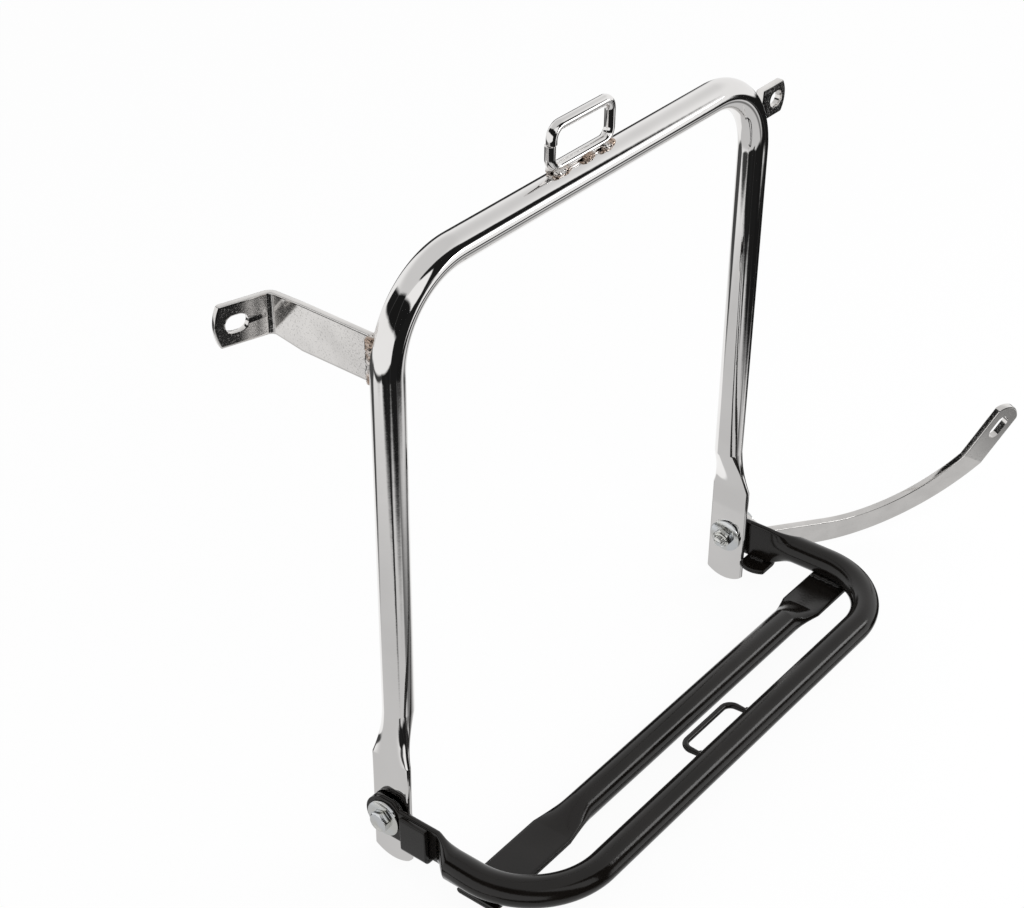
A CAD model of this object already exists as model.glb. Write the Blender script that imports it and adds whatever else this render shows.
"""Looks of a moped's pannier frame: a chromed tube hoop with a folding black shelf.

Sizes are in millimetres in the shape functions and become metres when a mesh is made. Every piece is
drawn in the frame's own axes: +X along the pivots, -Y out over the shelf, +Z up, origin between the pivots.
"""

import functools

import bpy
import numpy as np
from bpy.props import FloatProperty, FloatVectorProperty, IntProperty, PointerProperty
from mathutils import Matrix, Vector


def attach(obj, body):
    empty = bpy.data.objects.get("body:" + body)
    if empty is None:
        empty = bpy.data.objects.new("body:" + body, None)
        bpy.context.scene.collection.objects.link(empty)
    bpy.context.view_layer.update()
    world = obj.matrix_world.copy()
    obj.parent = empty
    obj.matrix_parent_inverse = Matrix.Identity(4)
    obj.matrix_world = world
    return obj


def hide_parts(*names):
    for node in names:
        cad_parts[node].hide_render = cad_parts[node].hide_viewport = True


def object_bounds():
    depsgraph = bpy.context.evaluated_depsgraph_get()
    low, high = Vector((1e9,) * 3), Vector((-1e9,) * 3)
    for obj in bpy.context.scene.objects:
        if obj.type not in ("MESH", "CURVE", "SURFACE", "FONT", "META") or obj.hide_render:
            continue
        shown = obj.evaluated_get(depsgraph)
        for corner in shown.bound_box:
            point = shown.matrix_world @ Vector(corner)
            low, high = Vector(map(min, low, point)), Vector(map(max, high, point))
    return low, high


bl_info = {
    "name": "Pannier frame",
    "version": (1, 0, 0),
    "blender": (4, 5, 0),
    "location": "View3D > Sidebar > Pannier",
    "description": "Dresses the pannier frame: tubes, flat bars, wire loops, welds, bolts and their finishes",
    "category": "Object",
}

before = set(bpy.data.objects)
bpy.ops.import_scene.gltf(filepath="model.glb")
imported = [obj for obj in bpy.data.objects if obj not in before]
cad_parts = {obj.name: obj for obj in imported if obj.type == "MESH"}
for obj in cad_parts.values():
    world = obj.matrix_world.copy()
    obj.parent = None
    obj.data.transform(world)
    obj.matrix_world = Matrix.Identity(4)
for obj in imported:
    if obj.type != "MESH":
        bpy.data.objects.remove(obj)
CAD_BOX = [list(corner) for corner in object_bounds()]

MM = 0.001
DECIMETRE = 100.0
X, Y, Z = np.eye(3)
PICTURE_WIDTH = 1024
SHARP = np.radians(38)
TUBE_STEP, WIRE_STEP = 2.5, 6.0

# Stack at each pivot, outwards from the hoop's middle
LEG_X, LEG_IN, LEG_OUT = 143.0, 147.6, 151.0
ARM_X, ARM_OUT, FACE = 160.3, 155.7, 155.8
STRUT_IN = 158.8
SHELF_LOOP_HALF = 21.5
SHELF_RISE = np.radians(1.6)
# The tubes' pressed ends: width, thickness and the gap left between their walls
FLAT_W, FLAT_T, PRESSED_GAP = 24.35, 3.4, 0.4

# The pivots' hardware: thread, width across flats, a flat face as a share of that, washer, points around
BOLT_R, FLATS, HEX_FACE, WASHER_T = 3.0, 10.0, 0.97, 1.6
HEX_POINTS = 144

# The slot and the body of each kind of piece
CHROME = {"slot": "hoop_chrome", "body": "hoop"}
PLATE = {"slot": "bracket_plate", "body": "hoop"}
BEAD = {"slot": "bare_weld", "body": "hoop"}
BLACK = {"slot": "shelf_black", "body": "shelf"}
ZINC = {"slot": "zinc_hardware", "body": "hoop"}


# Shape tools


def turned(vector, axis, angle):
    """Vectors turned about a unit axis: v cos a + (axis x v) sin a + axis (axis . v)(1 - cos a)."""
    angle = np.atleast_1d(angle)[:, None]
    cross = np.cross(axis, vector)
    return vector * np.cos(angle) + cross * np.sin(angle) + axis * np.dot(axis, vector) * (1 - np.cos(angle))


class Walk:
    """A centreline walked from a start: straight runs and round bends.

    Each station keeps its place, the way ahead T, the wide direction W and the thick direction N = T x W,
    and how far along it lies.
    """

    def __init__(self, at, ahead, wide):
        self.at = np.array([at], float)
        self.ahead = np.array([ahead], float)
        self.wide = np.array([wide], float)
        self.along = np.array([0.0])

    def thick(self):
        return np.cross(self.ahead, self.wide)

    def _extend(self, at, ahead, wide, along):
        self.at = np.vstack([self.at, at])
        self.ahead = np.vstack([self.ahead, ahead])
        self.wide = np.vstack([self.wide, wide])
        self.along = np.concatenate([self.along, self.along[-1] + along])
        return self

    def run(self, length, marks=()):
        """Straight on, with stations at the marks and at the end: place = start + mark * T."""
        marks = np.array([m for m in marks if 0 < m < length] + [length], float)
        hold = np.ones((len(marks), 1))
        return self._extend(
            self.at[-1] + marks[:, None] * self.ahead[-1], hold * self.ahead[-1], hold * self.wide[-1], marks
        )

    def bend(self, radius, degrees, about="wide", step=4.0):
        """An arc about the wide or the thick axis: place = centre + (start - centre) turned by the angle."""
        axis = self.wide[-1] if about == "wide" else np.cross(self.ahead[-1], self.wide[-1])
        axis = axis * np.sign(degrees)
        total = np.radians(abs(degrees))
        angles = np.linspace(0, total, max(2, int(np.ceil(abs(degrees) / step))) + 1)[1:]
        centre = self.at[-1] + radius * np.cross(axis, self.ahead[-1])
        return self._extend(
            centre + turned(self.at[-1] - centre, axis, angles),
            turned(self.ahead[-1], axis, angles),
            turned(self.wide[-1], axis, angles),
            radius * angles,
        )


def stadium(share, wide, thick):
    """Points at shares of the girth of a slot shape, from the middle of its +W fold.

    Within a quarter of the girth a point goes round the fold, (cos(d / r), sin(d / r)), and then back along the
    straight. The other three quarters mirror the first.
    """
    r, straight = thick / 2, wide - thick
    arc = np.pi * r / 2
    girth = 2 * straight + 4 * arc
    d = (share % 1.0) * girth
    past_half = np.abs(d - girth / 2)
    from_fold = np.minimum(np.minimum(d, girth - d), past_half)
    turn = np.minimum(from_fold, arc) / r
    w = straight / 2 + r * np.cos(turn) - np.maximum(from_fold - arc, 0)
    n = r * np.sin(turn)
    return np.column_stack([np.where(past_half < girth / 4, -w, w), np.where(d < girth / 2, n, -n)])


def bar_outline(corner_points, face_points, wide, thick, edge):
    """A rectangle with round edges: quarter circles about +-(half - edge), and points over the broad faces."""
    corner = np.linspace(0, np.pi / 2, corner_points)
    w, n = wide / 2 - edge, thick / 2 - edge
    first = np.column_stack([w + edge * np.cos(corner), n + edge * np.sin(corner)])
    across = np.linspace(w, -w, face_points + 2)[1:-1]
    face = np.column_stack([across, np.full(face_points, thick / 2)])
    second = np.column_stack([-w - edge * np.sin(corner), n + edge * np.cos(corner)])
    top = np.vstack([first, face, second])
    return np.vstack([top, (top * [1, -1])[::-1]])


def once_round(around):
    """Evenly spread angles round a circle, in radians."""
    return 2 * np.pi * np.arange(around) / around


def smooth(t):
    """The S-curve 3t^2 - 2t^3 of a number held between 0 and 1."""
    t = np.clip(t, 0, 1)
    return t * t * (3 - 2 * t)


def carried(walk, offsets, forward=0.0):
    """Carries a section along a walk: place = centre + W * first offset + N * second offset + T * forward."""
    return (
        walk.at[:, None]
        + walk.wide[:, None] * offsets[..., :1]
        + walk.thick()[:, None] * offsets[..., 1:2]
        + walk.ahead[:, None] * np.broadcast_to(forward, offsets.shape[:2])[..., None]
    )


def piece(name, rows, ends="strip", along=None, **entry):
    """A mesh from rows of closed section points, (rows, around, 3) in millimetres.

    Faces join each point to the next one around and to the next row. The ends close with a strip that joins a
    section's upper half to its lower half ("strip"), with a fan to the middle ("fan"), or the last row joins
    the first ("ring"). The UV map "grain" holds how far along and how far around each corner is, in decimetres.
    entry holds nodes, slot and body, and without it the mesh is only a part of a piece.
    """
    rows = np.asarray(rows, float)
    count, around = rows.shape[:2]
    index = np.arange(count * around).reshape(count, around)
    here, there = (index, np.roll(index, -1, 0)) if ends == "ring" else (index[:-1], index[1:])
    quads = np.stack([here, np.roll(here, -1, 1), np.roll(there, -1, 1), there], -1).reshape(-1, 4)
    points = rows.reshape(-1, 3)
    if along is None:
        centre = rows.mean(1)
        along = np.concatenate([[0], np.cumsum(np.linalg.norm(np.diff(centre, axis=0), axis=1))])
    girth = np.linalg.norm(np.diff(rows[:, list(range(around)) + [0]], axis=1), axis=2).sum(1).max()
    u = np.tile(np.arange(around) / around, count)
    v = np.repeat(along, around)
    uv = np.stack([u[quads], v[quads]], -1)
    uv[:, 1:3, 0] += (uv[:, 1:3, 0] < uv[:, [0, 3], 0]).astype(float)
    uv *= np.array([girth, 1.0]) / DECIMETRE
    faces, corners = [quads], [uv]
    if ends == "strip":
        top = np.arange(around // 2 - 1)
        low = around - 1 - top
        for row, flip in ((0, False), (count - 1, True)):
            cap = index[row][np.stack([top, top + 1, low - 1, low], -1)]
            faces.append(cap if flip else cap[:, ::-1])
            corners.append(np.stack([u[faces[-1]] * girth, v[faces[-1]]], -1) / DECIMETRE)
    sizes = [np.full(len(f), 4) for f in faces]
    if ends == "fan":
        for row, flip in ((0, False), (count - 1, True)):
            points = np.vstack([points, rows[row].mean(0)])
            hub = np.full(around, len(points) - 1)
            fan = np.stack([index[row], np.roll(index[row], -1), hub], -1)
            faces.append(fan if flip else fan[:, ::-1])
            corners.append(np.zeros((around, 3, 2)))
            sizes.append(np.full(around, 3))
    flat = np.concatenate([f.ravel() for f in faces])
    flat_uv = np.concatenate([c.reshape(-1, 2) for c in corners])
    sizes = np.concatenate(sizes)
    starts = np.concatenate([[0], np.cumsum(sizes)[:-1]])
    if volume(points, flat, sizes, starts) < 0:
        for size in (3, 4):
            at = starts[sizes == size][:, None] + np.arange(size)
            flat[at], flat_uv[at] = flat[at[:, ::-1]], flat_uv[at[:, ::-1]]
    mesh = bpy.data.meshes.new(name)
    mesh.vertices.add(len(points))
    mesh.vertices.foreach_set("co", (points * MM).ravel())
    mesh.loops.add(len(flat))
    mesh.loops.foreach_set("vertex_index", flat.astype(np.int32))
    mesh.polygons.add(len(sizes))
    mesh.polygons.foreach_set("loop_start", starts.astype(np.int32))
    mesh.polygons.foreach_set("loop_total", sizes.astype(np.int32))
    mesh.update(calc_edges=True)
    layer = mesh.uv_layers.new(name="grain")
    layer.data.foreach_set("uv", flat_uv.ravel())
    mesh.polygons.foreach_set("use_smooth", np.ones(len(sizes), bool))
    mesh.set_sharp_from_angle(angle=SHARP)
    mesh.validate()
    made = bpy.data.objects.new(name, mesh)
    bpy.context.scene.collection.objects.link(made)
    return entered(made, **entry) if entry else made


def entered(made, nodes, slot, body):
    """Gives a piece its finish, the solids it stands for, its slot and the body that it rides on."""
    made.data.materials.clear()
    made.data.materials.append(finish(slot))
    made.data.polygons.foreach_set("material_index", np.zeros(len(made.data.polygons), np.int32))
    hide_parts(*nodes)
    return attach(made, body)


def volume(points, flat, sizes, starts):
    """Signed volume: a sixth of the sum of a . (b x c) over the triangles, negative if inside out."""
    first = flat[starts]
    total = 0.0
    for turn in (1, 2):
        keep = sizes > turn + 1
        b, c = flat[starts[keep] + turn], flat[starts[keep] + turn + 1]
        total += (points[first[keep]] * np.cross(points[b], points[c])).sum()
    return total / 6


def joined(name, parts, **entry):
    """Several closed shells as one piece: their meshes are put together in the first one."""
    made = parts[0]
    with bpy.context.temp_override(
        active_object=made, selected_editable_objects=parts, selected_objects=parts, object=made
    ):
        bpy.ops.object.join()
    made.name = made.data.name = name
    return entered(made, **entry)


def applied(obj):
    """Bakes an object's modifiers into its mesh and shades it smooth up to the sharp angle."""
    bpy.context.view_layer.update()
    graph = bpy.context.evaluated_depsgraph_get()
    mesh = bpy.data.meshes.new_from_object(obj.evaluated_get(graph))
    obj.modifiers.clear()
    obj.data = mesh
    mesh.polygons.foreach_set("use_smooth", np.ones(len(mesh.polygons), bool))
    mesh.set_sharp_from_angle(angle=SHARP)
    return obj


def cut(obj, cutters, edge=0.0):
    """Takes closed cutters out of a piece, then rounds the new edges by the given width in millimetres."""
    for cutter in cutters:
        take = obj.modifiers.new("cut", "BOOLEAN")
        take.operation, take.solver, take.object = "DIFFERENCE", "EXACT", cutter
    if edge:
        rounding = obj.modifiers.new("edge", "BEVEL")
        rounding.width, rounding.segments = edge * MM, 2
        rounding.limit_method, rounding.angle_limit = "ANGLE", np.radians(50)
    obj.modifiers.new("merge", "WELD").merge_threshold = 0.002 * MM
    applied(obj)
    for cutter in cutters:
        bpy.data.objects.remove(cutter)
    return obj


def prism(at, ahead, wide, long, across, depth):
    """A slot-shaped cutter: a stadium outline carried straight through a plate by its depth, both ways."""
    thick = np.cross(ahead, wide)
    outline = stadium(np.arange(72) / 72, long, across)
    ring = np.asarray(at) + outline[:, :1] * ahead + outline[:, 1:] * wide
    return piece("cutter", np.stack([ring - depth * thick, ring + depth * thick]), ends="fan")


# Finishes


class Value:
    """One output of a shader node. Arithmetic on it adds Math nodes to the same finish."""

    def __init__(self, owner, socket):
        self.owner, self.socket = owner, socket

    def _math(self, operation, a, b):
        return self.owner.add("ShaderNodeMath", {"operation": operation}, a, b)

    def __add__(self, other):
        return self._math("ADD", self, other)

    def __sub__(self, other):
        return self._math("SUBTRACT", self, other)

    def __rsub__(self, other):
        return self._math("SUBTRACT", other, self)

    def __mul__(self, other):
        return self._math("MULTIPLY", self, other)

    def __truediv__(self, other):
        return self._math("DIVIDE", self, other)

    def __pow__(self, other):
        return self._math("POWER", self, other)

    __radd__, __rmul__ = __add__, __mul__

    def between(self, low, high, bottom=0.0, top=1.0):
        """The value spread from low..high to bottom..top and held there, on an S-curve."""
        return self.owner.add(
            "ShaderNodeMapRange", {"interpolation_type": "SMOOTHSTEP"}, self, low, high, bottom, top
        )


class Finish:
    """A material being written. add() places a node, sets it up, feeds its inputs and returns its output."""

    def __init__(self, name, tree=None):
        if tree is None:
            self.material = bpy.data.materials.new(name)
            self.material.use_nodes = True
            tree = self.material.node_tree
        self.tree = tree
        self.tree.nodes.clear()

    def feed(self, socket, value):
        if isinstance(value, Value):
            self.tree.links.new(value.socket, socket)
        else:
            socket.default_value = value

    def add(self, kind, settings=None, *values, out=0, **named):
        node = self.tree.nodes.new(kind)
        for key, value in (settings or {}).items():
            setattr(node, key, value)
        for number, value in enumerate(values):
            if value is not None:
                self.feed(node.inputs[number], value)
        for key, value in named.items():
            self.feed(node.inputs[key.replace("_", " ")], value)
        return Value(self, node.outputs[out]) if len(node.outputs) else None

    def place(self, stretch=(1, 1, 1)):
        """Object coordinates in metres, stretched to shape a pattern."""
        spot = self.add("ShaderNodeTexCoord", out=3)
        return self.add("ShaderNodeMapping", None, spot, Scale=stretch)

    def grain(self, stretch=(1, 1, 1)):
        """The piece's own UV map, along and around it, stretched to draw the pattern out along the bar."""
        spot = self.add("ShaderNodeUVMap", {"uv_map": "grain"})
        return self.add("ShaderNodeMapping", None, spot, Scale=stretch)

    def noise(self, where, scale, detail=3.0, rough=0.5):
        return self.add("ShaderNodeTexNoise", None, Vector=where, Scale=scale, Detail=detail, Roughness=rough)

    def mix(self, factor, low, high):
        """From one colour to another by a factor."""
        node = self.tree.nodes.new("ShaderNodeMix")
        node.data_type = "RGBA"
        for number, value in ((0, factor), (6, low), (7, high)):
            self.feed(node.inputs[number], value)
        return Value(self, node.outputs[2])

    def bump(self, height, distance, strength=1.0, normal=None):
        extra = {"Normal": normal} if normal else {}
        return self.add("ShaderNodeBump", None, Height=height, Distance=distance, Strength=strength, **extra)

    def surface(self, **sockets):
        """Ends the material in one Principled shader with these sockets."""
        shader = self.add("ShaderNodeBsdfPrincipled", None, **sockets)
        self.add("ShaderNodeOutputMaterial", None, shader)
        return self.material


def hoop_chrome(colours):
    """Bright chrome: a hard mirror with faint polishing waves and a breath of haze."""
    f = Finish("polished_chrome")
    spot = f.place()
    haze = f.noise(spot, 22.0, 4.0).between(0.35, 0.75)
    waves = f.noise(f.place((1, 1, 0.6)), 95.0, 2.0)
    fine = f.noise(spot, 900.0, 2.0)
    tint = f.mix(haze, (*colours.chrome, 1), tuple(0.94 * c for c in colours.chrome) + (1,))
    normal = f.bump(fine, 0.000004, 1.0, f.bump(waves, 0.00004, 1.0))
    return f.surface(Base_Color=tint, Metallic=1.0, Roughness=haze * 0.03 + 0.025, Normal=normal)


def bracket_plate(colours):
    """Dull plate on rolled bar: drawn-out grain along the bar, small pits and cloudy patches."""
    f = Finish("dull_plate")
    lines = f.noise(f.grain((60, 3, 1)), 9.0, 5.0, 0.6)
    cloud = f.noise(f.place(), 60.0, 4.0, 0.6).between(0.3, 0.75)
    pits = f.noise(f.place(), 1100.0, 3.0, 0.6).between(0.56, 0.72)
    dark = tuple(0.62 * c for c in colours.plate)
    tint = f.mix(cloud * 0.3 + pits * 0.3, (*colours.plate, 1), (*dark, 1))
    rough = lines * 0.07 + cloud * 0.03 + pits * 0.06 + 0.03
    normal = f.bump(lines * 0.6 - pits * 0.8, 0.000012, 1.0)
    return f.surface(Base_Color=tint, Metallic=1.0, Roughness=rough, Normal=normal)


def bare_weld(colours):
    """Plated weld: bright lumps with brown-grey heat colour in the hollows and a rough skin."""
    f = Finish("weld_skin")
    spot = f.place()
    heat = f.noise(spot, 150.0, 2.0).between(0.36, 0.6)
    skin = f.noise(spot, 1200.0, 2.0, 0.5)
    lumps = f.noise(spot, 300.0, 2.0)
    tint = f.mix(heat, (*colours.weld, 1), (0.47, 0.36, 0.29, 1))
    normal = f.bump(skin * 0.2 + lumps, 0.00003, 1.0)
    return f.surface(Base_Color=tint, Metallic=1.0, Roughness=skin * 0.2 + 0.06, Normal=normal)


def shelf_black(colours):
    """Satin black powder coat: a fine orange-peel skin, a little dust in the gloss and worn-in shine."""
    f = Finish("powder_coat")
    spot = f.place()
    peel = f.noise(spot, 650.0, 2.0)
    broad = f.noise(spot, 35.0, 3.0).between(0.3, 0.7)
    dust = f.noise(spot, 2600.0, 2.0, 0.7).between(0.6, 0.78)
    tint = f.mix(dust * 0.5 + broad * 0.3, (*colours.coat, 1), tuple(2.4 * c for c in colours.coat) + (1,))
    rough = broad * 0.06 + dust * 0.12 + 0.12
    return f.surface(Base_Color=tint, Roughness=rough, IOR=1.44, Normal=f.bump(peel, 0.00003, 1.0))


def zinc_hardware(colours):
    """Bright zinc with a thin yellow-blue passivation and a soft, slightly pitted skin."""
    f = Finish("bright_zinc")
    spot = f.place()
    film = f.noise(spot, 130.0, 2.0).between(0.35, 0.65)
    pits = f.noise(spot, 1700.0, 3.0, 0.6)
    tint = f.mix(film, (*colours.zinc, 1), (0.72, 0.72, 0.69, 1))
    return f.surface(
        Base_Color=tint, Metallic=1.0, Roughness=pits * 0.14 + 0.05, Normal=f.bump(pits, 0.00002, 1.0)
    )


FINISHES = {f.__name__: f for f in (hoop_chrome, bracket_plate, bare_weld, shelf_black, zinc_hardware)}


@functools.lru_cache(maxsize=None)
def finish(name):
    """The material of that name, written when it is first asked for."""
    return FINISHES[name](bpy.context.scene.pannier_finish)


# Sizes and colours


class PannierSizes(bpy.types.PropertyGroup):
    """Sizes of the visible pieces, in millimetres."""

    tube: FloatProperty(name="Tube", description="Diameter of the tubes, mm", default=16.0, min=10, max=30)
    wall: FloatProperty(name="Wall", description="Wall of the tubes, mm", default=1.5, min=0.8, max=3)
    hoop_height: FloatProperty(name="Hoop height", description="From pivots to top tube, mm", default=298.0)
    corner: FloatProperty(name="Corner radius", description="Bend radius of hoop and shelf, mm", default=44.0)
    shelf_depth: FloatProperty(name="Shelf depth", description="From pivots to outer tube, mm", default=106.0)
    cross_depth: FloatProperty(name="Cross tube", description="From pivots to cross tube, mm", default=66.0)
    loop_wire: FloatProperty(name="Strap loop wire", description="Wire of the strap loop, mm", default=5.5)
    shelf_wire: FloatProperty(name="Shelf loop wire", description="Wire of the shelf loop, mm", default=3.5)
    bar_edge: FloatProperty(name="Bar edges", description="Edge radius of flat bars, mm", default=0.5, min=0.1)
    around: IntProperty(name="Points around", description="Points around each tube", default=96, min=24, max=160)


class PannierFinish(bpy.types.PropertyGroup):
    """Base colours of the five finishes."""

    chrome: FloatVectorProperty(
        name="Chrome", description="Reflected colour of the chrome", subtype="COLOR",
        default=(0.885, 0.870, 0.858),
    )
    plate: FloatVectorProperty(
        name="Plate", description="Reflected colour of the dull plate", subtype="COLOR",
        default=(0.84, 0.82, 0.80),
    )
    weld: FloatVectorProperty(
        name="Weld", description="Reflected colour of the welds", subtype="COLOR",
        default=(0.72, 0.70, 0.68),
    )
    coat: FloatVectorProperty(
        name="Powder coat", description="Colour of the black coat", subtype="COLOR",
        default=(0.0045, 0.0036, 0.0030),
    )
    zinc: FloatVectorProperty(
        name="Zinc", description="Reflected colour of the zinc plate", subtype="COLOR",
        default=(0.74, 0.76, 0.78),
    )


# Pieces


def tube(walk, sizes, necks, end, side, place=None, upper=None, **entry):
    """A round tube with pressed ends, hollow all through.

    At each station the section lies between a circle and a slot shape of the same girth, by the shares that the
    necks at both ends give for its width and for its thickness. The slot shape sits side * (r - t/2) off the
    axis, and its upper half is narrowed by upper(s). end = (tip radius, fade) rounds the cut ends, and without
    it they are square. The wall runs along outside, round the cut end and back inside. entry holds name, nodes,
    slot and body.
    """
    s = walk.along
    r = sizes.tube / 2
    near, far = necks
    part = np.maximum(near(s), far(s[-1] - s)).T[:, None]
    turn = once_round(sizes.around)
    share = np.arange(sizes.around) / sizes.around

    def wall(radius, wide, thick):
        """One side of the tube's wall: circle * (1 - share) + slot shape * share."""
        circle = radius * np.column_stack([np.cos(turn), np.sin(turn)])
        pressed = np.repeat(stadium(share, wide, thick)[None], len(s), 0)
        if upper is not None:
            pressed[..., 0] *= np.where(pressed[..., 0] > 0, upper(s)[:, None], 1.0)
        section = (1 - part) * circle + part * pressed
        section[..., 1] += side * (r - FLAT_T / 2) * part[..., 1]
        return carried(walk, section, end_bow(s, section[..., 0], *end) if end else 0.0)

    inner = wall(r - sizes.wall, FLAT_W - 2 * sizes.wall, PRESSED_GAP)
    rows = np.concatenate([wall(r, FLAT_W, FLAT_T), inner[::-1]])
    return piece(rows=place(rows) if place else rows, ends="ring", along=np.concatenate([s, s[::-1]]), **entry)


def hairpin(walk, leg, half, corner, near, far, first):
    """A leg, a bend, a straight, a bend and a leg again, half the width either side of the middle.

    near and far are stations on the legs, counted from the first and the last end. The straight has stations
    every 40 mm from the first one on.
    """
    across = 2 * (half - corner)
    walk.run(leg, near).bend(corner, 90, step=TUBE_STEP)
    walk.run(across, np.arange(first, across, 40)).bend(corner, 90, step=TUBE_STEP)
    return walk.run(leg, [leg - m for m in far[::-1]])


def step_back(radius, w):
    """Depth of a round tip of radius R at a width w: R - sqrt(R^2 - w^2)."""
    return radius - np.sqrt(radius**2 - np.minimum(np.abs(w), radius) ** 2)


def end_bow(s, w, radius, fade):
    """How far a tube's cut ends step back at a width w, fading out along it: step * (1 - s / fade)^1.5."""
    near, far = np.clip(1 - s / fade, 0, 1) ** 1.5, np.clip(1 - (s[-1] - s) / fade, 0, 1) ** 1.5
    return step_back(radius, w) * (near - far)[:, None]


def neck(start, end, late=2.4):
    """Shares of flatness that fall from 1 before start to 0 past end, for the width and for the thickness.

    With u falling evenly from 1 to 0, the width keeps u^late and the thickness 0.7 u + 0.3 smooth(u).
    """

    def shares(s):
        u = 1 - np.clip((s - start) / (end - start), 0, 1)
        return np.stack([u**late, 0.7 * u + 0.3 * smooth(u)])

    return shares


def on_shelf(points):
    """Turns the shelf's points up about the pivots: y cos a + z sin a, -y sin a + z cos a."""
    c, s = np.cos(SHELF_RISE), np.sin(SHELF_RISE)
    x, y, z = np.moveaxis(np.array(points, float), -1, 0)
    return np.stack([x, y * c + z * s, z * c - y * s], -1)


def wire(walk, r, place=None, around=40, **entry):
    """A round wire along a walk, with its cut ends slightly rounded. entry holds name, nodes, slot and body."""
    turn = once_round(around)
    round_off = np.ones(len(walk.along))
    round_off[[0, -1]] = 1 - min(0.5, r / 4) / r
    circle = r * np.column_stack([np.cos(turn), np.sin(turn)])
    rows = carried(walk, circle[None] * round_off[:, None, None])
    return piece(rows=place(rows) if place else rows, ends="fan", **entry)


def bar(walk, wide, thick, sizes, tip, name, slots=(), middle=0.0, start_tip=None, **entry):
    """A flat bar along a walk: a rectangle with round edges whose width may change, with a round tip.

    The stations near a tip step back by R - sqrt(R^2 - w^2), and the last two at each end shrink by the edge
    radius, so the cut ends' edges are round too. The section is moved sideways by middle, and slots are cut.
    """
    edge = sizes.bar_edge
    s = walk.along
    wide, middle = np.broadcast_to(wide, s.shape), np.broadcast_to(middle, s.shape)
    base = bar_outline(5, 26, 2.0, thick, edge)
    section = np.repeat(base[None], len(s), 0)
    shrink = np.zeros(len(s))
    shrink[[0, -1]], shrink[[1, -2]] = edge, 0.3 * edge
    core = np.clip(base[:, 0], edge - 1, 1 - edge)
    section[..., 0] = core / (1 - edge) * (wide / 2 - edge - shrink)[:, None] + base[:, 0] - core
    section[..., 1] *= (1 - 2 * shrink / thick)[:, None]
    fade = min(0.6 * wide[-1] + 2, 16.0)
    bow = -step_back(tip, section[..., 0]) * (np.clip(1 - (s[-1] - s) / fade, 0, 1) ** 1.3)[:, None]
    if start_tip:
        fade = 1.5 * start_tip
        bow += step_back(start_tip, section[..., 0]) * (np.clip(1 - s / fade, 0, 1) ** 1.3)[:, None]
    section[..., 0] += middle[:, None]
    made = piece(name, carried(walk, section, bow), "strip", s)
    if slots:
        cut(made, [prism(*slot) for slot in slots], 0.3)
    return entered(made, **entry)


def tip_marks(length, fade=16.0, edge=0.5):
    """Stations towards a bar's tip: close together at the end, so that the round tip is smooth."""
    return list(length - fade * np.linspace(1, 0, 14)[:-1] ** 1.5 - edge) + [length - 0.3 * edge]


def slot_at(walk, back, long, across=9.0, shift=0.0):
    """A slot's cutter: its middle lies that far back from the walk's end, shifted along its width."""
    ahead, wide = walk.ahead[-1], walk.wide[-1]
    return walk.at[-1] - back * ahead + shift * wide, ahead, wide, long, across, 6.0


def weld(start, end, r, wide=1.0, up=Z, ripple=1.3, lump=0.09, seed=0):
    """A weld bead between two points: a round bar with domed ends whose radius swells at each laid drop.

    radius = r * dome(s) * (1 + lump * saw(s) + wobble(s, around)), where the saw climbs over each drop.
    """
    start, end = np.asarray(start, float), np.asarray(end, float)
    reach = np.linalg.norm(end - start)
    ahead = (end - start) / reach
    side = np.cross(up, ahead)
    side /= np.linalg.norm(side)
    upward = np.cross(ahead, side)
    s = (reach / 2 + r) * np.sin(np.linspace(-1, 1, 56) * np.pi / 2)
    over = np.maximum(np.abs(s) - reach / 2, 0) / r
    dome = np.sqrt(np.clip(1 - over**2, 0.0009, 1))
    turn = once_round(28)
    phase = np.random.default_rng(seed).uniform(0, 6.28, 6)
    saw = np.abs(np.sin(np.pi * (s / ripple) + phase[0]))
    wobble = (
        0.07 * np.sin(2.1 * s[:, None] / r + phase[1] + 2 * turn)
        + 0.05 * np.sin(4.7 * s[:, None] / r + phase[2] + 3 * turn + phase[3])
    )
    radius = r * dome[:, None] * (1 + lump * (saw[:, None] - 0.6) + wobble)
    rows = (
        (start + end) / 2
        + s[:, None, None] * ahead
        + (wide * radius * np.cos(turn))[..., None] * side
        + (radius * np.sin(turn))[..., None] * upward
    )
    return piece("bead", rows, "fan")


def collar(centre, ring, r, seed):
    """A weld run round a wire's end: a lumpy ring, radius r about a circle of radius ring across the Y axis."""
    big, small = once_round(48)[:, None], once_round(20)[None]
    phase = np.random.default_rng(seed).uniform(0, 6.28, 3)
    fat = r * (1 + 0.14 * np.sin(5 * big + phase[0]) + 0.08 * np.sin(9 * big + phase[1] + small))
    out = ring + fat * np.cos(small)
    around = np.stack([-out * np.sin(big), fat * np.sin(small), -out * np.cos(big)], -1)
    return piece("collar", np.asarray(centre) + around, "ring")


def spun(x, r):
    """Rows about +X from x and radius, by level and angle: (x, r cos a, r sin a)."""
    x, r = np.broadcast_arrays(x, r)
    turn = once_round(r.shape[1])
    return np.stack([x, r * np.cos(turn), r * np.sin(turn)], -1)


def lathe(profile, around=96):
    """A body of revolution about +X from (x, radius) pairs."""
    x, r = np.array(profile, float).T[..., None]
    return spun(x, np.repeat(r, around, 1))


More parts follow.
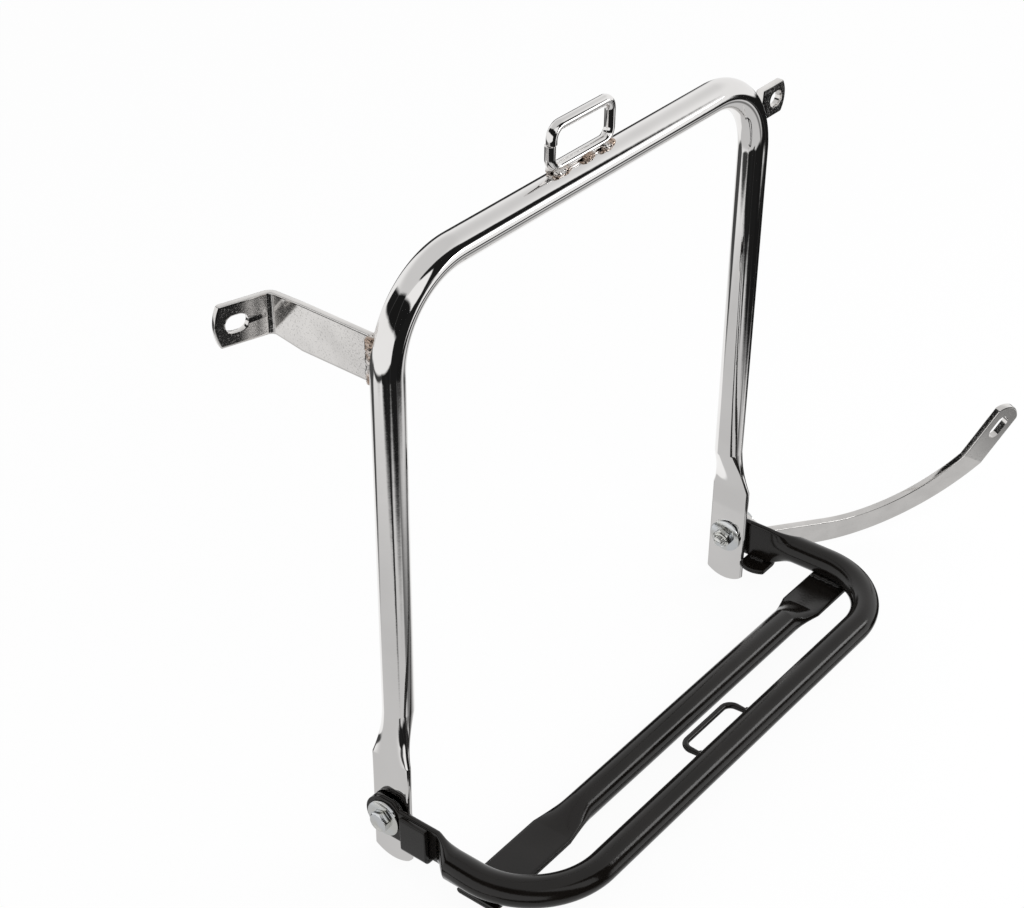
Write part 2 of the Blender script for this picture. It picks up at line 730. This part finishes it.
def hex_rows(x0, height, flats, twist, around):
    """A hexagon along +X, up to its flat face: its corners are cut by a 30-degree cone at both ends.

    The side's radius is half the flats over the cosine of the angle to the nearest flat. It meets a cone where
    (radius - face radius) * tan 30 has been lost from the height.
    """
    off = (once_round(around) - twist + np.pi / 6) % (np.pi / 3) - np.pi / 6
    half, slope, lip = flats / 2, np.tan(np.radians(30)), 0.02
    side = half / np.cos(off)
    low = np.maximum(side - 0.99 * half, 0) * slope + lip
    drop = np.maximum(side - HEX_FACE * half, 0) * slope + lip
    soft, inset = 0.12, 0.03
    levels = np.array([
        (x0 + 0 * side, np.minimum(side, 0.96 * half)),
        (x0 + low, side - inset),
        (x0 + low + soft, side),
        (x0 + height - drop - soft, side),
        (x0 + height - drop, side - inset),
        (x0 + height + 0 * side, HEX_FACE * half + 0 * side),
    ])
    return spun(levels[:, 0], levels[:, 1])


def mirrored(rows, side):
    """Rows drawn for the right-hand pivot, put at the left one when side is -1."""
    return rows * [side, 1, 1]


# Operators


class PannierOperator:
    """What all the operators share: each builds its pieces from the sizes, and an error stops the script."""

    bl_options = {"REGISTER", "UNDO"}

    def execute(self, context):
        self.build(context.scene.pannier_sizes)
        return {"FINISHED"}


class PANNIER_OT_hoop(PannierOperator, bpy.types.Operator):
    """Chromed hoop: one tube, pressed flat at both lower ends"""

    bl_idname = "pannier.hoop"
    bl_label = "Hoop tube"

    def build(self, sizes):
        drop, flat, round_from, tip, fade = 31.0, 34.0, 64.0, 19.0, 26.0
        leg = drop + (sizes.hoop_height - sizes.corner)
        marks = [*np.linspace(0, 26, 18), 36, 50, *(drop + np.linspace(flat, round_from, 36))]
        walk = hairpin(Walk((-LEG_X, 0, -drop), Z, Y), leg, LEG_X, sizes.corner, marks, marks, 20)
        necks = 2 * [neck(drop + flat, drop + round_from)]
        tube(walk, sizes, necks, (tip, fade), 1.0, name="hoop_tube_chrome", nodes=["hoop_tube"], **CHROME)


class PANNIER_OT_shelf(PannierOperator, bpy.types.Operator):
    """Black shelf tube with pressed ends on the pivots"""

    bl_idname = "pannier.shelf"
    bl_label = "Shelf tube"

    def build(self, sizes):
        tail = FLAT_W / 2
        leg = tail + (sizes.shelf_depth - sizes.corner)
        left, right, long, late = tail + 33.5, tail + 26.5, 14.5, 1.5
        flats = np.linspace(0, tail * 2, 30)
        marks = [[*flats, *np.linspace(start, start + long, 26)] for start in (left, right)]
        walk = hairpin(Walk((-ARM_X, tail, 0), -Y, Z), leg, ARM_X, sizes.corner, *marks, 40)

        def upper(s):
            """The left arm's upper half follows its round end down to just above the tube's height:
            max(sqrt(R^2 - y^2), r)."""
            height = np.sqrt(np.maximum(tail**2 - np.maximum(s - tail, 0) ** 2, 0))
            return np.where(s < s[-1] / 2, np.maximum(height, sizes.tube / 2 + 0.3) / tail, 1.0)

        tube(
            walk, sizes, [neck(start, start + long, late) for start in (left, right)], (tail + 0.05, tail * 2),
            -1.0, on_shelf, upper, name="shelf_tube_black", nodes=["shelf_tube"], **BLACK,
        )


class PANNIER_OT_cross_tube(PannierOperator, bpy.types.Operator):
    """Black cross tube, pressed flat where it lies under the shelf's arms"""

    bl_idname = "pannier.cross_tube"
    bl_label = "Cross tube"

    def build(self, sizes):
        past, left_long, right_long = 4.0, 23.0, 18.0
        left, right = past + 55.0, past + 34.0
        reach = ARM_X + past
        length = 2 * reach
        marks = [0.02, 20, 40, *np.linspace(left, left + left_long, 28), 120, 160]
        marks += [*(length - right - right_long + np.linspace(0, right_long, 24)), length - 20, length - 0.02]
        walk = Walk((-reach, -sizes.cross_depth, -sizes.tube / 2 - FLAT_T / 2), X, Y).run(length, marks)
        necks = neck(left, left + left_long, 1.1), neck(right, right + right_long, 1.3)
        tube(walk, sizes, necks, None, 0.0, on_shelf, name="cross_tube_black", nodes=["cross_tube"], **BLACK)


class PANNIER_OT_strap_loop(PannierOperator, bpy.types.Operator):
    """Chromed wire loop on the top tube, whose two ends meet in its left leg"""

    bl_idname = "pannier.strap_loop"
    bl_label = "Strap loop"

    def build(self, sizes):
        r, tip = sizes.loop_wire / 2, 0.15
        middle, half, height, corner, meet, step = -7.5, 22.0, 20.5, 6.0, 12.5, 1.0
        base = sizes.hoop_height + sizes.tube / 2 + r
        across, upright = 2 * (half - corner), height - 2 * corner
        walk = Walk((middle - half, 0, base + meet), Z, Y).run(height - corner - meet, [tip])
        walk.bend(corner, 90, step=WIRE_STEP).run(across).bend(corner, 90, step=WIRE_STEP).run(upright)
        walk.bend(corner, 90, step=WIRE_STEP).run(across + step).bend(corner, 90, step=WIRE_STEP)
        walk.run(meet - corner, [meet - corner - tip])
        wire(walk, r, name="strap_loop_chrome", nodes=["strap_loop"], **CHROME)


class PANNIER_OT_shelf_loop(PannierOperator, bpy.types.Operator):
    """Black wire loop on the inner side of the shelf's outer tube"""

    bl_idname = "pannier.shelf_loop"
    bl_label = "Shelf loop"

    def build(self, sizes):
        depth, corner, sunk = 20.0, 5.5, 6.5
        walk = Walk((-SHELF_LOOP_HALF, sunk - sizes.shelf_depth, 0), Y, Z).run(depth - corner - sunk)
        walk.bend(corner, -90, step=WIRE_STEP).run(2 * (SHELF_LOOP_HALF - corner))
        walk.bend(corner, -90, step=WIRE_STEP).run(depth - corner - sunk)
        wire(walk, sizes.shelf_wire / 2, on_shelf, 32, name="shelf_loop_black", nodes=["shelf_loop"], **BLACK)


class PANNIER_OT_front_bracket(PannierOperator, bpy.types.Operator):
    """Front bracket: a strap that narrows and turns out into a slotted tab"""

    bl_idname = "pannier.front_bracket"
    bl_label = "Front bracket"

    def build(self, sizes):
        thick, inner, turn, tab, height = 3.0, 3.0, 72.0, 26.0, 259.5
        start, outer, wide, narrowing, taper, tip = 8.1, 70.0, 24.5, 3.0, 16.0, 23.65
        run = outer - (thick / 2 + inner) * np.sin(np.radians(turn))
        walk = Walk((-LEG_X, start, height), Y, Z).run(run - start, [0.3, 1, 20, 30, 40, 41.6, 45, 50, 54])
        walk.bend(inner + thick / 2, turn, step=5).run(tab, tip_marks(tab))
        drawn_in = np.clip((walk.along - (run - taper - start)) / taper, 0, 1)
        bar(
            walk, wide - narrowing * drawn_in, thick, sizes, tip, "front_bracket_plate",
            [slot_at(walk, 11.0, 11.5, shift=1.0)], 1.0 * drawn_in, nodes=["front_bracket"], **PLATE,
        )


class PANNIER_OT_rear_bracket(PannierOperator, bpy.types.Operator):
    """Rear bracket: leaves the right leg at a slant and ends in a slotted tab along the hoop"""

    bl_idname = "pannier.rear_bracket"
    bl_label = "Rear bracket"

    def build(self, sizes):
        thick, inner, slant, tab, height = 4.0, 3.0, 30.0, 22.0, 245.0
        start, behind, wide, tip = 6.0, 36.0, 19.0, 15.2
        ahead = np.array([np.cos(np.radians(slant)), np.sin(np.radians(slant)), 0])
        run = (behind - (thick / 2 + inner) * (1 - ahead[0])) / ahead[1]
        walk = Walk(np.array([LEG_X, 0, height]) + start * ahead, ahead, Z).run(run - start, [0.3, 1, 20, 40])
        walk.bend(inner + thick / 2, -slant, step=4).run(tab, tip_marks(tab))
        bar(
            walk, wide, thick, sizes, tip, "rear_bracket_plate", [slot_at(walk, 9.5, 11.5)],
            nodes=["rear_bracket"], **PLATE,
        )


class PANNIER_OT_strut(PannierOperator, bpy.types.Operator):
    """Strut: a flat bar bent out from the right pivot, curved upwards on edge and bent into a slotted tab"""

    bl_idname = "pannier.strut"
    bl_label = "Strut"

    def build(self, sizes):
        thick, inner, wide, tip, pitch = 4.0, 3.0, 20.0, 12.0, np.radians(21.5)
        foot, outward, rise, curve, curved, turned_in, tab = 11.0, 63.5, 42.0, 96.0, 64.0, 13.5, 39.5
        ahead = np.array([0, -np.cos(pitch), -np.sin(pitch)])
        upright = np.array([0, -np.sin(pitch), np.cos(pitch)])
        pivot = np.array([STRUT_IN + thick / 2, 0, 0])
        walk = Walk(pivot - wide / 2 * ahead, ahead, upright)
        walk.run(wide / 2 + foot, [0.15, 0.5, *range(1, 15)])
        walk.bend(inner + thick / 2, outward, step=4).run(rise, [20])
        walk.bend(curve, curved, about="thick", step=3)
        walk.bend(inner + thick / 2, turned_in, step=3).run(tab, tip_marks(tab))
        bore = (pivot, ahead, upright, 6.2, 6.16, thick)
        bar(
            walk, wide, thick, sizes, tip, "strut_plate", [slot_at(walk, 15.0, 16.0), bore],
            start_tip=wide / 2 + 0.05, nodes=["strut"], **PLATE,
        )


class PANNIER_OT_stop_angles(PannierOperator, bpy.types.Operator):
    """Stop angles: a folded plate on the outside of each arm that catches under the hoop's flattened end"""

    bl_idname = "pannier.stop_angles"
    bl_label = "Stop angles"

    def build(self, sizes):
        thick, top, fold, reach, front, tip = 2.8, 7.6, 0.8, 12.7, 28.6, 14.0
        low = -FLAT_W / 2 - thick
        near = (FLAT_W / 2 + 0.1) / np.cos(SHELF_RISE) + low * np.sin(SHELF_RISE) * 0.8
        wide = front - near
        for side, name in ((-1, "left"), (1, "right")):
            walk = Walk((ARM_OUT + thick / 2, -near - wide / 2, top), -Z, Y)
            walk.run(top - low - (thick + fold), [0.15, 0.5, 2, 8]).bend(fold + thick / 2, 90, step=6)
            walk.run(reach, [2] + tip_marks(reach, 9.0))
            walk.at, walk.ahead, walk.wide = (
                on_shelf(mirrored(part, side)) for part in (walk.at, walk.ahead, walk.wide)
            )
            bar(
                walk, wide - 0.1, thick, sizes, tip, f"{name}_stop_angle_black",
                nodes=[f"{name}_stop_angle"], **BLACK,
            )


class PANNIER_OT_welds(PannierOperator, bpy.types.Operator):
    """Weld beads: rippled fillets at the brackets, the loops, the cross tube and the stops"""

    bl_idname = "pannier.welds"
    bl_label = "Welds"

    # Middle x, y and lift of each bead under the strap loop, half its length, its radius and its ripples' seed
    STRAP_BEADS = (
        (-24.0, -2.6, 0.2, 4.0, 1.9, 21), (-26.0, 2.6, 0.1, 1.6, 1.8, 22), (-4.6, -2.7, 0.0, 2.0, 1.9, 23),
        (-5.5, 2.7, 0.0, 2.0, 1.8, 24), (10.2, -2.7, 0.4, 2.7, 2.0, 25), (10.6, 2.7, 0.2, 2.3, 1.9, 26),
    )

    def build(self, sizes):
        r = sizes.tube / 2
        sides = (-1, 1)
        root, fat, low, high = r - 0.3, 2.3, 249.3, 269.6
        spots = [np.array([side * 2.2 - LEG_X, root, 0]) for side in sides]
        beads = [
            weld(spot + low * Z, spot + high * Z, fat, up=Y, seed=3 + side) for spot, side in zip(spots, sides)
        ]
        joined("front_bracket_bead", beads, nodes=["front_bracket_weld"], **BEAD)

        slant, height, half = np.radians(30), 245.0, 7.0
        out, across = np.cos(slant) * X + np.sin(slant) * Y, np.cos(slant) * Y - np.sin(slant) * X
        spots = [np.array([LEG_X, 0, height]) + root * out + side * 2.6 * across for side in sides]
        beads = [
            weld(spot - half * Z, spot + half * Z, fat, up=Y, seed=9 + side) for spot, side in zip(spots, sides)
        ]
        joined("rear_bracket_bead", beads, nodes=["rear_bracket_weld"], **BEAD)

        base = sizes.hoop_height + r + 0.9
        beads = [
            weld((x - half, y, base + z), (x + half, y, base + z), fat, ripple=1.9, lump=0.12, seed=seed)
            for x, y, z, half, fat, seed in self.STRAP_BEADS
        ]
        joined("strap_loop_beads", beads, nodes=["strap_loop_welds"], **BEAD)

        x, half = ARM_X - 6.3, 8.6
        ends = [on_shelf([(side * x, y - sizes.cross_depth, 0.6 - r) for y in (-half, half)]) for side in sides]
        beads = [weld(*pair, 1.9, 1.2, seed=31 + side) for pair, side in zip(ends, sides)]
        joined("cross_tube_beads", beads, nodes=["cross_tube_welds"], **BLACK)

        spots = [on_shelf([side * SHELF_LOOP_HALF, r + 0.15 - sizes.shelf_depth, 0]) for side in sides]
        beads = [collar(spot, sizes.shelf_wire / 2, 0.85, 41 + side) for spot, side in zip(spots, sides)]
        joined("shelf_loop_beads", beads, nodes=["shelf_loop_welds"], **BLACK)

        x, near, far = LEG_OUT + 1.6, -15.8, -22.6
        ends = [on_shelf([(side * x, y, 0.1 - FLAT_W / 2) for y in (far, near)]) for side in sides]
        beads = [weld(*pair, 1.4, 1.1, ripple=1.0, seed=51 + side) for pair, side in zip(ends, sides)]
        joined("stop_beads", beads, nodes=["stop_welds"], **BLACK)


class PANNIER_OT_pivots(PannierOperator, bpy.types.Operator):
    """Pivot bolts, nuts and washers in bright zinc, with a cut thread on the bolts"""

    bl_idname = "pannier.pivots"
    bl_label = "Pivots"

    def build(self, sizes):
        under_nut = LEG_IN - WASHER_T
        past_nut, strut = 3.2, 4.0
        for side, name, head in ((-1, "left", FACE + WASHER_T), (1, "right", STRUT_IN + strut + WASHER_T)):
            rows = mirrored(self.bolt(head, under_nut - 5 - past_nut), side)
            piece(f"{name}_pivot_bolt_zinc", rows, "fan", nodes=[f"{name}_pivot_bolt"], **ZINC)
            rows = mirrored(self.nut(under_nut, 0.3 + 0.5 * side), side)
            piece(f"{name}_lock_nut_zinc", rows, "ring", nodes=[f"{name}_lock_nut"], **ZINC)
        wide, small, thin, spacer = 20.0, 14.0, 1.2, 3.0
        for name, x, across, thick in (
            ("left_outer", -FACE - WASHER_T, wide, WASHER_T), ("right_outer", STRUT_IN + strut, wide, WASHER_T),
            ("right_spacer", FACE, wide, spacer), ("left_middle", -LEG_OUT - thin, small, thin),
            ("right_middle", LEG_OUT, small, thin), ("left_inner", -LEG_IN, wide, WASHER_T),
            ("right_inner", LEG_IN - WASHER_T, wide, WASHER_T),
        ):
            rows = self.washer(x, across, thick)
            piece(f"{name}_washer_zinc", rows, "ring", nodes=[f"{name}_washer"], **ZINC)

    @staticmethod
    def washer(x, wide, thick):
        """A stamped ring: its rim is rounded on one side and its bore is plain."""
        r, bore, rim, far, near = wide / 2, 3.2, 0.35, 0.15, 0.2
        return lathe([
            (x, bore), (x, r - rim), (x + 0.3 * rim, r - 0.3 * rim), (x + rim, r), (x + thick - far, r),
            (x + thick, r - far), (x + thick, bore + near), (x + thick - near, bore),
        ])

    @staticmethod
    def nut(x, twist):
        """A hexagon nut towards -X with a rounded locking collar."""
        collar_profile = [(4.1, 4.3), (4.6, 4.25), (4.9, 3.9), (5.0, 3.5), (4.6, 3.05), (0.1, BOLT_R)]
        rows = np.concatenate([hex_rows(0, 4.2, FLATS, twist, HEX_POINTS), lathe(collar_profile, HEX_POINTS)])
        return x * X + rows * [-1, 1, 1]

    @staticmethod
    def bolt(head, tip):
        """A bolt from its tip to its head: its radius falls by a V of the helix angle, x / pitch - turn."""
        pitch, depth, chamfer, height, dish = 1.0, 0.55, 0.6, 4.0, 0.175
        x = np.concatenate([np.arange(tip + 0.4, LEG_IN + 1, 0.125), [LEG_IN + 1.6, head]])[:, None]
        fade = np.clip((x - tip - 0.3) / 1.0, 0, 1) * np.clip((LEG_IN + 1 - x) / 0.6, 0, 1)
        helix = (x / pitch - np.arange(HEX_POINTS) / HEX_POINTS) % 1.0
        vee = np.clip(np.abs(2 * helix - 1) * 1.35 - 0.15, 0, 1)
        r = BOLT_R - depth * fade * vee - chamfer * (1 - np.clip((x - tip) / (2 * chamfer), 0, 1))
        face, top = HEX_FACE * FLATS / 2, head + height
        return np.concatenate([
            lathe([(tip, 1.9)], HEX_POINTS),
            spun(x, r),
            hex_rows(head, height, FLATS, 0.2, HEX_POINTS),
            lathe([(top, face - 0.4), (top - dish, face - 1.0), (top - dish, 0.4)], HEX_POINTS),
        ])


class PANNIER_OT_stage(PannierOperator, bpy.types.Operator):
    """Stage: a white floor, soft lights, the studio walls that the metal mirrors, and the camera"""

    bl_idname = "pannier.stage"
    bl_label = "Stage"

    def build(self, sizes):
        self.floor()
        self.world()
        self.lamps()
        self.camera()
        bpy.context.scene.view_settings.view_transform = "Standard"

    @staticmethod
    def panel(name, corners, material):
        """A flat card from its four corners in metres."""
        mesh = bpy.data.meshes.new(name)
        mesh.from_pydata(corners, [], [(0, 1, 2, 3)])
        mesh.materials.append(material)
        made = bpy.data.objects.new(name, mesh)
        bpy.context.scene.collection.objects.link(made)
        return made

    def floor(self):
        """White floor: seen straight it is mostly its own white, with the object's soft shadow left in it."""
        level = CAD_BOX[0][2] - 0.0004
        f = Finish("studio_floor")
        seen = f.add("ShaderNodeLightPath")
        matt = f.add("ShaderNodeBsdfDiffuse", None, Color=(0.92, 0.92, 0.93, 1))
        white = f.add("ShaderNodeEmission", None, Color=(1, 1, 1, 1), Strength=1.0)
        shader = f.add("ShaderNodeMixShader", None, seen * 0.93, matt, white)
        f.add("ShaderNodeOutputMaterial", None, shader)
        reach = 6.0
        corners = [(x * reach, y * reach, level) for x, y in ((-1, -1), (1, -1), (1, 1), (-1, 1))]
        self.panel("studio_floor", corners, f.material).visible_glossy = False

    def world(self):
        """White surroundings, and for mirror rays the studio's boards: WALLS lists each as corners in degrees
        (azimuth, elevation) seen from the object, its brightness and how soft its edges are."""
        world = bpy.data.worlds.new("studio")
        bpy.context.scene.world = world
        world.use_nodes = True
        world.cycles.sampling_method = "NONE"
        f = Finish("", world.node_tree)
        rays = f.add("ShaderNodeLightPath").socket.node.outputs
        way = f.add("ShaderNodeTexCoord")
        height = f.add("ShaderNodeVectorMath", {"operation": "DOT_PRODUCT"}, way, Z, out=1)
        light = height.between(0.35, 0.85, 0.90, 0.64) - height.between(-0.62, -0.46, 0.32, 0.0)
        for corners, level, soft in self.WALLS:
            inside = self.board(f, way, corners, soft)
            light = light + inside * (level - light)
        mirrored_part = Value(f, rays["Is Glossy Ray"])
        seen = Value(f, rays["Is Camera Ray"]) + Value(f, rays["Is Transmission Ray"])
        plain = seen.between(0.0, 1.0, 0.72, 1.0)
        glow = f.add("ShaderNodeBackground", None, (1, 1, 1, 1), plain + mirrored_part * (light - plain))
        f.add("ShaderNodeOutputWorld", None, glow)

    @staticmethod
    def board(f, way, corners, soft):
        """1 inside a board and 0 outside: the product over its edges of the side of the plane through the eye and
        that edge, whose normal is corner x next corner."""
        azimuth, elevation = np.radians(np.array(corners, float)).T
        spots = np.column_stack(
            [np.cos(elevation) * np.cos(azimuth), np.cos(elevation) * np.sin(azimuth), np.sin(elevation)]
        )
        middle = spots.mean(0)
        inside = None
        for start, end in zip(spots, np.roll(spots, -1, 0)):
            normal = np.cross(start, end)
            normal *= np.sign(normal @ middle) / np.linalg.norm(normal)
            side = f.add("ShaderNodeVectorMath", {"operation": "DOT_PRODUCT"}, way, normal, out=1)
            edge = side.between(-np.radians(soft), np.radians(soft))
            inside = edge if inside is None else inside * edge
        return inside

    WALLS = (
        # the table to the left is whiter than the rest
        (((0, -33), (50, -30), (98, -32), (100, -60), (0, -60)), 0.95, 3.0),
        # dark wall under the ceiling, in three lengths
        (((98, 22), (150, 49), (150, 25), (98, 7)), 0.012, 2.5),
        (((148, 49), (215, 50), (215, 14), (148, 25)), 0.010, 2.5),
        (((213, 51), (268, 8), (278, -4), (240, 0), (213, 16)), 0.010, 2.5),
        # dark room past the table's edge
        (((75, -15), (127, -19), (127, -28), (110, -32), (75, -31)), 0.07, 2.5),
        (((126, -20), (186, -22), (186, -31), (155, -31), (126, -27)), 0.045, 2.0),
        (((184, -22), (236, -15), (236, -33), (184, -31)), 0.012, 2.0),
        (((234, 2), (275, 3), (301, -10), (301, -30), (234, -32)), 0.012, 2.0),
        (((278, -31), (352, -31), (352, -38), (280, -38)), 0.16, 3.0),
        (((88, -26), (126, -27), (113, -37), (96, -37)), 0.06, 2.5),
        (((200, -25), (218, -25), (234, -38), (224, -38)), 0.015, 1.5),
        # dark flag with a white window in it
        (((250, 54), (290, 46), (321, 28), (321, 9), (300, -8), (284, -8)), 0.012, 2.0),
        (((223, 45), (250, 47), (284, 30), (284, 0), (271, 2)), 0.92, 1.5),
        (((301, -3), (322, 9), (328, -24), (301, -24)), 0.92, 2.0),
        # low dark flags to the right and a small one at the back
        (((276, -25), (327, -24), (327, -31), (276, -31)), 0.010, 1.5),
        (((326, -13), (360, -9), (382, -15), (382, -30), (326, -31)), 0.010, 1.5),
        (((41, 12), (65, 15), (69, -17), (50, -21), (36, -12)), 0.03, 2.5),
    )

    @staticmethod
    def stood(at, right, up, back):
        """A lamp's or camera's matrix: its three axes as columns, then its place."""
        return Matrix.Translation(at) @ Matrix(np.column_stack([right, up, back]).tolist()).to_4x4()

    def lamps(self):
        """Soft boxes: a key above and to the left of the camera, a fill from the right and a small low window
        that draws the highlight along the black tubes."""
        for name, at, aim, size, power in (
            ("key", (-0.7, -0.9, 1.5), (0, 0, 0.1), (0.9, 0.9), 9.0),
            ("fill", (1.6, -0.6, 0.9), (0, 0, 0.1), (1.1, 1.1), 5.0),
            ("window", (0.43, -0.49, 0.25), (0.43, -0.1, 0), (0.46, 0.13), 0.75),
        ):
            data = bpy.data.lights.new(name, "AREA")
            data.shape, data.energy = "RECTANGLE", power
            data.size, data.size_y = size
            lamp = bpy.data.objects.new(name, data)
            lamp.visible_glossy = name == "window"
            bpy.context.scene.collection.objects.link(lamp)
            back = np.array(at, float) - np.array(aim, float)
            back /= np.linalg.norm(back)
            right = np.cross(Z, back)
            right /= np.linalg.norm(right)
            lamp.matrix_world = self.stood(at, right, np.cross(back, right), back)

    def camera(self):
        """The photograph's viewpoint: place, direction and lens, for a picture PICTURE_WIDTH pixels wide."""
        azimuth, elevation, roll = np.radians([-51.41, 34.52, 0.43])
        focal_px, place = 2072.67, np.array([-701.82, -515.12, 734.60]) * MM
        level = np.array([np.sin(azimuth), -np.cos(azimuth), 0])
        back = np.cos(elevation) * level + np.sin(elevation) * Z
        right = np.array([np.cos(azimuth), np.sin(azimuth), 0])
        up = np.cross(back, right)
        data = bpy.data.cameras.new("camera")
        data.sensor_width = 36.0
        data.lens = focal_px * data.sensor_width / PICTURE_WIDTH
        data.clip_start = 0.05
        eye = bpy.data.objects.new("camera", data)
        bpy.context.scene.collection.objects.link(eye)
        c, s = np.cos(roll), np.sin(roll)
        eye.matrix_world = self.stood(place, c * right + s * up, c * up - s * right, back)
        bpy.context.scene.camera = eye


class PANNIER_PT_panel(bpy.types.Panel):
    """Sidebar panel with the sizes, the colours and a button for each group of pieces"""

    bl_idname = "PANNIER_PT_panel"
    bl_label = "Pannier frame"
    bl_space_type = "VIEW_3D"
    bl_region_type = "UI"
    bl_category = "Pannier"

    def draw(self, context):
        for group in (context.scene.pannier_sizes, context.scene.pannier_finish):
            box = self.layout.box()
            for name in group.bl_rna.properties.keys():
                if name not in ("rna_type", "name"):
                    box.prop(group, name)
        for operator in OPERATORS:
            self.layout.operator(operator.bl_idname)


OPERATORS = (
    PANNIER_OT_hoop, PANNIER_OT_shelf, PANNIER_OT_cross_tube, PANNIER_OT_strap_loop, PANNIER_OT_shelf_loop,
    PANNIER_OT_front_bracket, PANNIER_OT_rear_bracket, PANNIER_OT_strut, PANNIER_OT_stop_angles,
    PANNIER_OT_welds, PANNIER_OT_pivots, PANNIER_OT_stage,
)
CLASSES = (PannierSizes, PannierFinish, *OPERATORS, PANNIER_PT_panel)


def register():
    for item in CLASSES:
        bpy.utils.register_class(item)
    bpy.types.Scene.pannier_sizes = PointerProperty(type=PannierSizes)
    bpy.types.Scene.pannier_finish = PointerProperty(type=PannierFinish)


def unregister():
    del bpy.types.Scene.pannier_sizes
    del bpy.types.Scene.pannier_finish
    for item in reversed(CLASSES):
        bpy.utils.unregister_class(item)


def main():
    register()
    for operator in OPERATORS:
        group, name = operator.bl_idname.split(".")
        if getattr(getattr(bpy.ops, group), name)() != {"FINISHED"}:
            raise RuntimeError(f"{operator.bl_label} was not finished")


if __name__ == "__main__":
    main()
